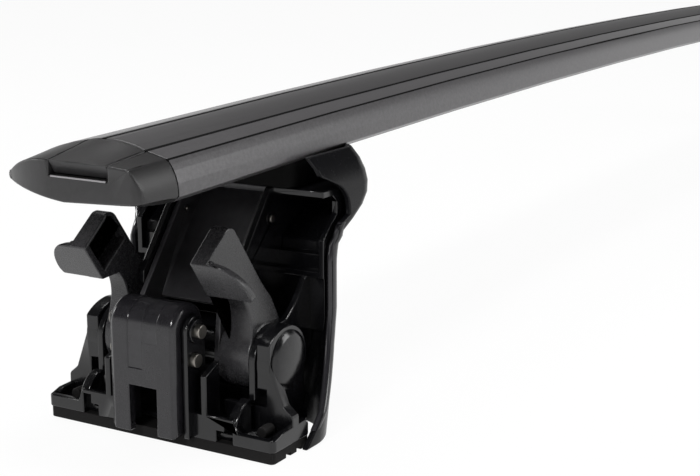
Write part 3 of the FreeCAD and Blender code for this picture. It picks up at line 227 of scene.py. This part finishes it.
def start_group(name, inputs, outputs):
    """A node group with named sockets: (label, socket type, default) and (label, socket type)."""
    tree = bpy.data.node_groups.new(name, "ShaderNodeTree")
    for label, kind, default in inputs:
        socket = tree.interface.new_socket(name=label, in_out="INPUT", socket_type=kind)
        socket.default_value = default
    for label, kind in outputs:
        tree.interface.new_socket(name=label, in_out="OUTPUT", socket_type=kind)
    entry = tree.nodes.new("NodeGroupInput")
    leave = tree.nodes.new("NodeGroupOutput")
    return tree, entry, leave


def noise(tree, vector, scale, detail):
    node = tree.nodes.new("ShaderNodeTexNoise")
    node.inputs["Detail"].default_value = detail
    tree.links.new(vector, node.inputs["Vector"])
    if isinstance(scale, (int, float)):
        node.inputs["Scale"].default_value = scale
    else:
        tree.links.new(scale, node.inputs["Scale"])
    return node.outputs["Fac"]


def surface_grain_group():
    tree, entry, leave = start_group(
        "surface_grain",
        [("Scale", "NodeSocketFloat", 2500.0), ("Depth", "NodeSocketFloat", 0.2)],
        [("Mask", "NodeSocketFloat"), ("Normal", "NodeSocketVector")])
    place = tree.nodes.new("ShaderNodeTexCoord").outputs["Object"]
    fine = noise(tree, place, entry.outputs["Scale"], 3.0)
    coarse = noise(tree, place, math_node(tree, "MULTIPLY", entry.outputs["Scale"], COARSE_SHARE), 2.0)
    mask = math_node(tree, "MULTIPLY", math_node(tree, "ADD", fine, coarse), 0.5)
    bump = tree.nodes.new("ShaderNodeBump")
    bump.inputs["Distance"].default_value = BUMP_DISTANCE
    tree.links.new(entry.outputs["Depth"], bump.inputs["Strength"])
    tree.links.new(mask, bump.inputs["Height"])
    tree.links.new(mask, leave.inputs["Mask"])
    tree.links.new(bump.outputs["Normal"], leave.inputs["Normal"])
    return tree


def edge_wear_group():
    tree, entry, leave = start_group(
        "edge_wear",
        [("Amount", "NodeSocketFloat", 0.3)],
        [("Mask", "NodeSocketFloat")])
    shape = tree.nodes.new("ShaderNodeNewGeometry").outputs["Pointiness"]
    ramp = tree.nodes.new("ShaderNodeMapRange")
    ramp.inputs["From Min"].default_value = POINTED[0]
    ramp.inputs["From Max"].default_value = POINTED[1]
    tree.links.new(shape, ramp.inputs["Value"])
    place = tree.nodes.new("ShaderNodeTexCoord").outputs["Object"]
    patches = noise(tree, place, WEAR_SCALE, 4.0)
    broken = math_node(tree, "MULTIPLY", ramp.outputs["Result"], patches)
    tree.links.new(math_node(tree, "MULTIPLY", broken, entry.outputs["Amount"]), leave.inputs["Mask"])
    return tree


def dust_film_group():
    tree, entry, leave = start_group(
        "dust_film",
        [("Amount", "NodeSocketFloat", 0.1)],
        [("Mask", "NodeSocketFloat")])
    shape = tree.nodes.new("ShaderNodeNewGeometry")
    split = tree.nodes.new("ShaderNodeSeparateXYZ")
    tree.links.new(shape.outputs["Normal"], split.inputs["Vector"])
    facing_up = math_node(tree, "MAXIMUM", split.outputs["Z"], 0.0)
    place = tree.nodes.new("ShaderNodeTexCoord").outputs["Object"]
    patches = noise(tree, place, DUST_SCALE, 5.0)
    settled = math_node(tree, "MULTIPLY", facing_up, patches)
    tree.links.new(math_node(tree, "MULTIPLY", settled, entry.outputs["Amount"]), leave.inputs["Mask"])
    return tree


GROUPS = {
    "grain": surface_grain_group(),
    "wear": edge_wear_group(),
    "dust": dust_film_group(),
}
print("groups:", ", ".join(tree.name for tree in GROUPS.values()))

# %% [markdown]
# ## Materials
#
# One recipe makes every finish: a base colour that varies with the grain, edges rubbed towards a
# second colour, a little dust on top, and roughness that follows both. The numbers that are the same
# all over a surface go straight onto the shader.

# %% Material recipe
DUST_COLOUR = (0.32, 0.31, 0.30)


def use_group(tree, key, **values):
    node = tree.nodes.new("ShaderNodeGroup")
    node.node_tree = GROUPS[key]
    for label, value in values.items():
        node.inputs[label].default_value = value
    return node


def blend_colours(tree, share, first, second):
    """A colour Mix; the share is a socket, and each colour is a socket or a triple."""
    mix = tree.nodes.new("ShaderNodeMix")
    mix.data_type = "RGBA"
    tree.links.new(share, mix.inputs["Factor"])
    for socket, colour in ((mix.inputs[6], first), (mix.inputs[7], second)):
        if isinstance(colour, tuple):
            socket.default_value = (*colour, 1)
        else:
            tree.links.new(colour, socket)
    return mix.outputs[2]


def finish_material(name, colour, fleck, roughness, grain_scale, grain_depth, metallic=0.0, wear=0.3,
                    worn=(0.25, 0.25, 0.26), dust=0.1, coat=0.0, coat_roughness=0.1, specular=0.5):
    material = bpy.data.materials.new(name)
    material.use_nodes = True
    tree = material.node_tree
    shader = tree.nodes["Principled BSDF"]
    shader.inputs["Metallic"].default_value = metallic
    shader.inputs["Coat Weight"].default_value = coat
    shader.inputs["Coat Roughness"].default_value = coat_roughness
    shader.inputs["Specular IOR Level"].default_value = specular
    grain = use_group(tree, "grain", Scale=grain_scale, Depth=grain_depth)
    rubbed = use_group(tree, "wear", Amount=wear)
    dusty = use_group(tree, "dust", Amount=dust)
    speckled = blend_colours(tree, grain.outputs["Mask"], colour, fleck)
    worn_colour = blend_colours(tree, rubbed.outputs["Mask"], speckled, worn)
    dusted = blend_colours(tree, dusty.outputs["Mask"], worn_colour, DUST_COLOUR)
    tree.links.new(dusted, shader.inputs["Base Color"])
    spread = tree.nodes.new("ShaderNodeMapRange")
    spread.inputs["To Min"].default_value = roughness[0]
    spread.inputs["To Max"].default_value = roughness[1]
    tree.links.new(grain.outputs["Mask"], spread.inputs["Value"])
    dulled = math_node(tree, "ADD", spread.outputs["Result"], dusty.outputs["Mask"])
    tree.links.new(dulled, shader.inputs["Roughness"])
    tree.links.new(grain.outputs["Normal"], shader.inputs["Normal"])
    return material


# %% The finishes
MATERIALS = {
    "bar_coat": finish_material(
        "charcoal_anodised", colour=(0.024, 0.023, 0.025), fleck=(0.14, 0.135, 0.14), roughness=(0.32, 0.46),
        grain_scale=2800.0, grain_depth=0.22, metallic=0.3, wear=0.15, worn=(0.3, 0.3, 0.31), dust=0.03,
        coat=0.25, coat_roughness=0.14),
    "cap_plastic": finish_material(
        "cap_moulding", colour=(0.003, 0.0029, 0.003), fleck=(0.020, 0.019, 0.020), roughness=(0.34, 0.46),
        grain_scale=3200.0, grain_depth=0.3, wear=0.2, dust=0.02),
    "strip_rubber": finish_material(
        "strip_rubber", colour=(0.020, 0.019, 0.020), fleck=(0.07, 0.068, 0.07), roughness=(0.36, 0.5),
        grain_scale=2600.0, grain_depth=0.3, wear=0.1, dust=0.02),
    "foot_plastic": finish_material(
        "glossy_black_nylon", colour=(0.0018, 0.0018, 0.0022), fleck=(0.0040, 0.0040, 0.0048),
        roughness=(0.12, 0.24), grain_scale=1500.0, grain_depth=0.05, wear=0.15, worn=(0.05, 0.05, 0.055),
        dust=0.0),
    "lever_plastic": finish_material(
        "lever_nylon", colour=(0.008, 0.008, 0.009), fleck=(0.034, 0.033, 0.035), roughness=(0.2, 0.34),
        grain_scale=1900.0, grain_depth=0.1, wear=0.2, worn=(0.10, 0.10, 0.11), dust=0.01),
    "leg_steel": finish_material(
        "textured_powder_coat", colour=(0.004, 0.004, 0.005), fleck=(0.040, 0.038, 0.042),
        roughness=(0.3, 0.48), grain_scale=1300.0, grain_depth=0.9, wear=0.2, dust=0.0),
    "zinc_steel": finish_material(
        "zinc_plate", colour=(0.14, 0.135, 0.125), fleck=(0.30, 0.28, 0.25), roughness=(0.26, 0.42),
        grain_scale=900.0, grain_depth=0.1, metallic=1.0, wear=0.2, worn=(0.6, 0.59, 0.57), dust=0.02),
    "pad_rubber": finish_material(
        "pad_rubber", colour=(0.003, 0.003, 0.003), fleck=(0.010, 0.009, 0.009), roughness=(0.6, 0.8),
        grain_scale=1400.0, grain_depth=0.4, wear=0.05, dust=0.02, specular=0.15),
}
SATIN_NYLON = finish_material(
    "satin_black_nylon", colour=(0.002, 0.002, 0.0024), fleck=(0.005, 0.005, 0.006), roughness=(0.2, 0.32),
    grain_scale=1800.0, grain_depth=0.08, wear=0.1, worn=(0.05, 0.05, 0.055), dust=0.0, specular=0.15)
# lighter black nylon: on the clamp block partly its own violet-grey tone and partly painted sheen for light
# its front reflects; on the rolled rims painted sheen for their lit stripe
NYLON_WITH_PAINTED_SHEEN = finish_material(
    "nylon_with_painted_sheen", colour=(0.008, 0.0076, 0.0092), fleck=(0.022, 0.021, 0.024), roughness=(0.12, 0.22),
    grain_scale=1500.0, grain_depth=0.06, wear=0.2, worn=(0.06, 0.06, 0.065), dust=0.0)
# near-black, barely reflecting finish: painted shade in the seams, along the ridge and on the saddle under
# the bar
PAINTED_SHADE_BLACK = finish_material(
    "painted_shade_black", colour=(0.0015, 0.0015, 0.0015), fleck=(0.004, 0.004, 0.004), roughness=(0.6, 0.8),
    grain_scale=2000.0, grain_depth=0.1, wear=0.0, dust=0.0, specular=0.1)
# pale finish of the ledge lip: a painted highlight
PAINTED_HIGHLIGHT_EDGE = finish_material(
    "painted_highlight_edge", colour=(0.20, 0.195, 0.20), fleck=(0.34, 0.33, 0.34), roughness=(0.28, 0.4),
    grain_scale=2400.0, grain_depth=0.1, wear=0.2, dust=0.02)
FINISH_OF = {
    # pieces whose finish isn't their slot's
    "tower_shell": SATIN_NYLON,
    # the saddle under the bar takes the near-black finish as painted shade
    "bar_saddle": PAINTED_SHADE_BLACK,
    # the block's lighter nylon is partly its own tone, partly painted sheen
    "clamp_block": NYLON_WITH_PAINTED_SHEEN,
}
OTHER_FINISHES = (SATIN_NYLON, NYLON_WITH_PAINTED_SHEEN, PAINTED_SHADE_BLACK, PAINTED_HIGHLIGHT_EDGE)
print("finishes:", len(MATERIALS) + len(OTHER_FINISHES))

# %% [markdown]
# ## Soft edges on the solids
#
# A moulded or pressed piece never has a knife edge, and the bright line along a rounded edge is most
# of what tells glossy black plastic from a hole. Each solid is copied, its flat faces are merged, and
# its outward edges are rounded by what its process would leave. The copy stands for the CAD node.
# Inward edges only stay sharp in the shading.

# %% Softened copies
SLOT_OF = {entry["node"]: entry["material_slot"] for entry in frame["record"]["subparts"]}
BODY_OF = {node: body for body, nodes in frame["record"]["behaviour"]["bodies"].items() for node in nodes}
WELD_DISTANCE = 2e-6
FLAT_ANGLE = math.radians(0.3)
EDGE_ANGLE = math.radians(34)
BEVEL_SEGMENTS = 2
MITER_SPREAD = 0.1           # of the bevel's width
STRAY_DISTANCE = 0.6         # of the bevel's width


def clean_mesh(node, width):
    """A copy of a CAD node's mesh, welded, with flat faces merged and outer edges rounded."""
    shape = bmesh.new()
    shape.from_mesh(frame["nodes"][node].data)
    bmesh.ops.remove_doubles(shape, verts=shape.verts, dist=WELD_DISTANCE)
    skin = BVHTree.FromBMesh(shape)
    bmesh.ops.dissolve_limit(shape, angle_limit=FLAT_ANGLE, verts=shape.verts, edges=shape.edges)
    round_edges(shape, width)
    pull_back(shape, skin, width)
    mesh = bpy.data.meshes.new(node)
    shape.to_mesh(mesh)
    shape.free()
    if "custom_normal" in mesh.attributes:
        mesh.attributes.remove(mesh.attributes["custom_normal"])
    return mesh


def round_edges(shape, width):
    """Rounds the sharp outward edges; sharp inward ones only stay sharp in the shading."""
    outward = []
    for edge in shape.edges:
        if len(edge.link_faces) != 2 or edge.calc_face_angle(0.0) < EDGE_ANGLE:
            continue
        if edge.calc_face_angle_signed(0.0) > 0:
            outward.append(edge)
        else:
            edge.smooth = False
    bmesh.ops.bevel(shape, geom=outward, offset=width, offset_type="OFFSET", segments=BEVEL_SEGMENTS,
                    profile=0.5, affect="EDGES", clamp_overlap=False, loop_slide=True,
                    miter_outer="ARC", miter_inner="ARC", spread=MITER_SPREAD * width)
    for face in shape.faces:
        face.smooth = True


def pull_back(shape, skin, width):
    """Brings points that a bevel threw clear of the solid back to its skin."""
    for point in shape.verts:
        place, _, _, distance = skin.find_nearest(point.co)
        if distance > STRAY_DISTANCE * width:
            point.co = place


def even_normals(piece):
    """Shades flat faces flat and rounded edges round."""
    normals = piece.modifiers.new("even_normals", "WEIGHTED_NORMAL")
    normals.keep_sharp = True


def add_piece(name, mesh, body, slot, finish=None):
    """A scene object that rides on a body; without a finish of its own it takes the slot's."""
    piece = bpy.data.objects.new(name, mesh)
    mesh.materials.clear()
    mesh.materials.append(finish or MATERIALS[slot])
    bpy.context.scene.collection.objects.link(piece)
    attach(piece, body)
    return piece


def soften(node, width):
    """Adds a node's rounded copy, which stands for the node."""
    finish = FINISH_OF.get(node.partition("_")[2])
    mesh = clean_mesh(node, width)
    piece = add_piece(node + "_soft", mesh, BODY_OF[node], SLOT_OF[node], finish)
    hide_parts(node)
    even_normals(piece)


# %% Edge widths
EDGE_WIDTHS = {
    # what the process leaves on an edge, in metres
    "end_cap": 0.8 * MM,
    "end_cap_flap": 0.5 * MM,
    "tower_shell": 0.7 * MM,
    "tower_frame": 0.5 * MM,
    "base_plate": 0.6 * MM,
    "clamp_block": 0.6 * MM,
    "front_lever": 0.8 * MM,
    "rear_lever": 0.8 * MM,
    "leg_bracket": 0.5 * MM,
    "bar_saddle": 0.5 * MM,
    "pivot_caps": 0.4 * MM,
    "rubber_pad": 0.4 * MM,
    "block_clips": 0.2 * MM,
    "block_pin": 0.5 * MM,
    "lug_studs": 0.5 * MM,
    "frame_screws": 0.5 * MM,
    "bar_nut": 0.4 * MM,
    "bar_bolt": 0.4 * MM,
}
LONG_EDGE_WIDTHS = {"crossbar": 0.45 * MM, "top_strip": 1.1 * MM}
for side in SIDES:
    for ending, width in EDGE_WIDTHS.items():
        soften(side + "_" + ending, width)
for node, width in LONG_EDGE_WIDTHS.items():
    soften(node, width)
print("softened:", len(SIDES) * len(EDGE_WIDTHS) + len(LONG_EDGE_WIDTHS))

# %% Plain nodes
covered = {side + "_" + ending for side in SIDES for ending in EDGE_WIDTHS} | set(LONG_EDGE_WIDTHS)
plain = sorted(set(frame["nodes"]) - covered)
for node in plain:
    mesh = frame["nodes"][node].data
    mesh.materials.clear()
    mesh.materials.append(MATERIALS[SLOT_OF[node]])
print("kept as they are:", ", ".join(plain))

# %% [markdown]
# ## Seams
#
# What the eye reads as the strip's edge and the cap's edge is a thin black line, the shade in the groove
# between two rounded edges. Each is painted shade: a thin near-black strip laid in that groove. Beside the
# strip's tail side the bar's own edge shows as a rail, and a painted shade line runs along the bar's front
# ridge.

# %% Seams
def loft(name, rings, body, slot, finish, closed):
    """A piece whose skin joins rings of points; the first and last rings are joined when it is closed."""
    shape = bmesh.new()
    rows = [[shape.verts.new(point) for point in ring] for ring in rings]
    count = len(rings[0])
    following_rows = rows[1:] + rows[:1] if closed else rows[1:]
    for low, high in zip(rows, following_rows):
        for place in range(count):
            following = (place + 1) % count
            shape.faces.new((low[place], low[following], high[following], high[place]))
    if not closed:
        shape.faces.new(list(reversed(rows[0])))
        shape.faces.new(rows[-1])
    bmesh.ops.recalc_face_normals(shape, faces=shape.faces)
    mesh = bpy.data.meshes.new(name)
    shape.to_mesh(mesh)
    shape.free()
    mesh.shade_smooth()
    mesh.set_sharp_from_angle(angle=EDGE_ANGLE)
    add_piece(name, mesh, body, slot, finish)


def bar_stations():
    """Where the CAD strip has its rings along the arch, and how far each lies below the middle one."""
    heights = {}
    for vertex in frame["nodes"]["top_strip"].data.vertices:
        key = round(vertex.co.x, 3)
        heights[key] = max(heights.get(key, -1.0), vertex.co.z)
    top = max(heights.values())
    return [(x, heights[x] - top) for x in sorted(heights)]


def along_bar(name, profile, depth, slot, finish):
    """A shallow strip on the bar; the profile is (y, z) in millimetres at the bar's middle."""
    rings = []
    for x, drop in bar_stations():
        top = [Vector((x, y * MM, z * MM + drop)) for y, z in profile]
        rings.append(top + [point - Vector((0, 0, depth)) for point in reversed(top)])
    loft(name, rings, "rack", slot, finish, False)


ON_BAR = {
    # name: (profile at the middle, thickness, slot, finish)
    # the two seams and the ridge line are near-black strips: painted shade in grooves that fall dark
    "lead_seam": ([(24.8, 140.08), (26.3, 139.62)], 0.5 * MM, "strip_rubber", PAINTED_SHADE_BLACK),
    "tail_seam": ([(4.9, 142.99), (6.5, 143.08)], 0.4 * MM, "strip_rubber", PAINTED_SHADE_BLACK),
    "tail_rail": ([(-2.4, 141.98), (-0.5, 142.34), (1.6, 142.68), (3.6, 142.95), (4.8, 143.04),
                   (5.1, 142.9)], 0.3 * MM, "bar_coat", MATERIALS["bar_coat"]),
    "ridge_shade_line": ([(35.2, 137.60), (35.5, 137.51), (35.9, 137.07)], 0.3 * MM, "bar_coat", PAINTED_SHADE_BLACK),
}
for name, (profile, depth, slot, finish) in ON_BAR.items():
    along_bar(name, profile, depth, slot, finish)
print("lines along the bar:", ", ".join(ON_BAR))


# %% Cap seams
RING_HALF = 0.7 * MM
RING_SUNK = 0.12 * MM
RING_DEPTH = 0.9 * MM
END_FACING = 0.99            # cosine from which a face counts as the bar's end


def walk_loop(neighbours, start):
    """The points of a closed border, from the start round to the point before it."""
    loop, before, current = [start], None, start
    while True:
        following = [point for point in neighbours[current] if point is not before]
        before, current = current, following[0]
        if current is start:
            return loop
        loop.append(current)


def end_outline(side):
    """The points round the bar's end face, along its widest border."""
    shape = bmesh.new()
    shape.from_mesh(frame["nodes"]["crossbar"].data)
    bmesh.ops.remove_doubles(shape, verts=shape.verts, dist=WELD_DISTANCE)
    end_faces = [face for face in shape.faces if face.normal.x * SIDES[side] > END_FACING]
    members = set(end_faces)
    neighbours = {}
    for face in end_faces:
        for edge in face.edges:
            if sum(other in members for other in edge.link_faces) != 1:
                continue
            first, second = edge.verts
            neighbours.setdefault(first, []).append(second)
            neighbours.setdefault(second, []).append(first)
    loops = []
    left = set(neighbours)
    while left:
        loop = walk_loop(neighbours, min(left, key=lambda point: (point.co.y, point.co.z)))
        left -= set(loop)
        loops.append([point.co.copy() for point in loop])
    shape.free()
    return max(loops, key=lambda loop: max(p.y for p in loop) - min(p.y for p in loop))


def cap_seam(side):
    """Rings of the seam between the bar's end and its cap, along the bar's own outline."""
    outline = end_outline(side)
    middle = sum(outline, Vector()) / len(outline)
    wide = Vector((RING_HALF, 0, 0))
    rings = []
    for place, point in enumerate(outline):
        along = outline[(place + 1) % len(outline)] - outline[place - 1]
        outward = Vector((0, along.z, -along.y)).normalized()
        if outward.dot(point - middle) < 0:
            outward.negate()
        skin = point - outward * RING_SUNK
        core = point - outward * RING_DEPTH
        rings.append([skin - wide, skin + wide, core + wide, core - wide])
    return rings


for side in SIDES:
    rings = cap_seam(side)
    # a near-black ring in the groove between bar and cap: painted shade
    loft(side + "_cap_seam", rings, "rack", "strip_rubber", PAINTED_SHADE_BLACK, True)
    print(side, "seam ring:", len(rings), "stations")

# %% [markdown]
# ## Rolled rim
#
# The shell's front edge is rolled over. A rounded bead follows each of its two edges from the foot up to the
# head, and its lit flank draws the pale stripe beside the dark opening. The bead's nylon is lighter than the
# shell's, a painted sheen that brightens that stripe.

# %% Rolled rim
RIM_HEIGHTS = [height * MM for height in range(7, 89, 3)]
RIM_HALF_THICK = 1.6 * MM
RIM_HALF_DEEP = 3.0 * MM
RIM_NOSE = 0.9 * MM          # how far the bead stands before the shell's edge
RIM_PROUD = 0.05 * MM        # how far it stands out sideways
RIM_STEPS = 16
FLANK_START = 30 * MM        # nearer the middle than this, no edge counts
FLANK_SHARE = 0.4            # how much lying outward counts against lying forward


def round_points(count):
    """Cosine and sine of evenly spaced turns."""
    turns = [2 * math.pi * step / count for step in range(count)]
    return [(math.cos(turn), math.sin(turn)) for turn in turns]


def rim_corner(shape, height, end, flank):
    """The outer corner of the shell's front edge at one height."""
    best = None
    for edge in shape.edges:
        low, high = sorted((edge.verts[0].co, edge.verts[1].co), key=lambda point: point.z)
        if low.z > height or high.z <= height:
            continue
        share = (height - low.z) / (high.z - low.z)
        place = low.lerp(high, share)
        if place.y * flank < FLANK_START:
            continue
        reach = place.x * end + FLANK_SHARE * place.y * flank
        if best is None or reach > best[0]:
            best = (reach, place)
    return best[1]


def rolled_rim(side, flank):
    """Rings of the bead along one front edge, from the foot up."""
    end = SIDES[side]
    shape = bmesh.new()
    shape.from_mesh(frame["nodes"][side + "_tower_shell"].data)
    corners = [rim_corner(shape, height, end, flank) for height in RIM_HEIGHTS]
    shape.free()
    rings = []
    for corner in corners:
        middle = corner + Vector((end * (RIM_NOSE - RIM_HALF_DEEP),
                                  flank * (RIM_PROUD - RIM_HALF_THICK), 0))
        rings.append([middle + Vector((end * RIM_HALF_DEEP * cosine, RIM_HALF_THICK * sine, 0))
                      for cosine, sine in round_points(RIM_STEPS)])
    return rings


for side in SIDES:
    for label, flank in (("lead", 1.0), ("tail", -1.0)):
        rings = rolled_rim(side, flank)
        # the bead's lighter nylon is a painted sheen on its lit stripe
        loft(side + "_rolled_rim_" + label, rings, "rack", "foot_plastic", NYLON_WITH_PAINTED_SHEEN, False)
print("rolled rims:", 2 * len(SIDES))

# %% [markdown]
# ## Ledge lip
#
# Below the flap, the cap's finger ledge ends in a thin rounded lip. The photograph shows it as a bright
# line, which may only be a highlight, so its pale colour is a choice made here. Its pale colour is a
# painted highlight: the bright line along the ledge is drawn into the lip's own colour.

# %% Ledge lip
LIP_PLACE = (615.75 * MM, 121.5 * MM)      # along the bar and up
LIP_SPAN = [y * MM for y in range(-1, 26, 2)]
LIP_RADIUS = 0.35 * MM
LIP_STEPS = 12


def ledge_lip(side):
    """Rings of the lip across the ledge's width."""
    rings = []
    for y in LIP_SPAN:
        rings.append([Vector((SIDES[side] * (LIP_PLACE[0] + LIP_RADIUS * cosine), y,
                              LIP_PLACE[1] + LIP_RADIUS * sine))
                      for cosine, sine in round_points(LIP_STEPS)])
    return rings


for side in SIDES:
    # the lip's pale finish is a painted highlight along the ledge
    loft(side + "_ledge_lip", ledge_lip(side), "rack", "cap_plastic", PAINTED_HIGHLIGHT_EDGE, False)
print("ledge lips:", len(SIDES))
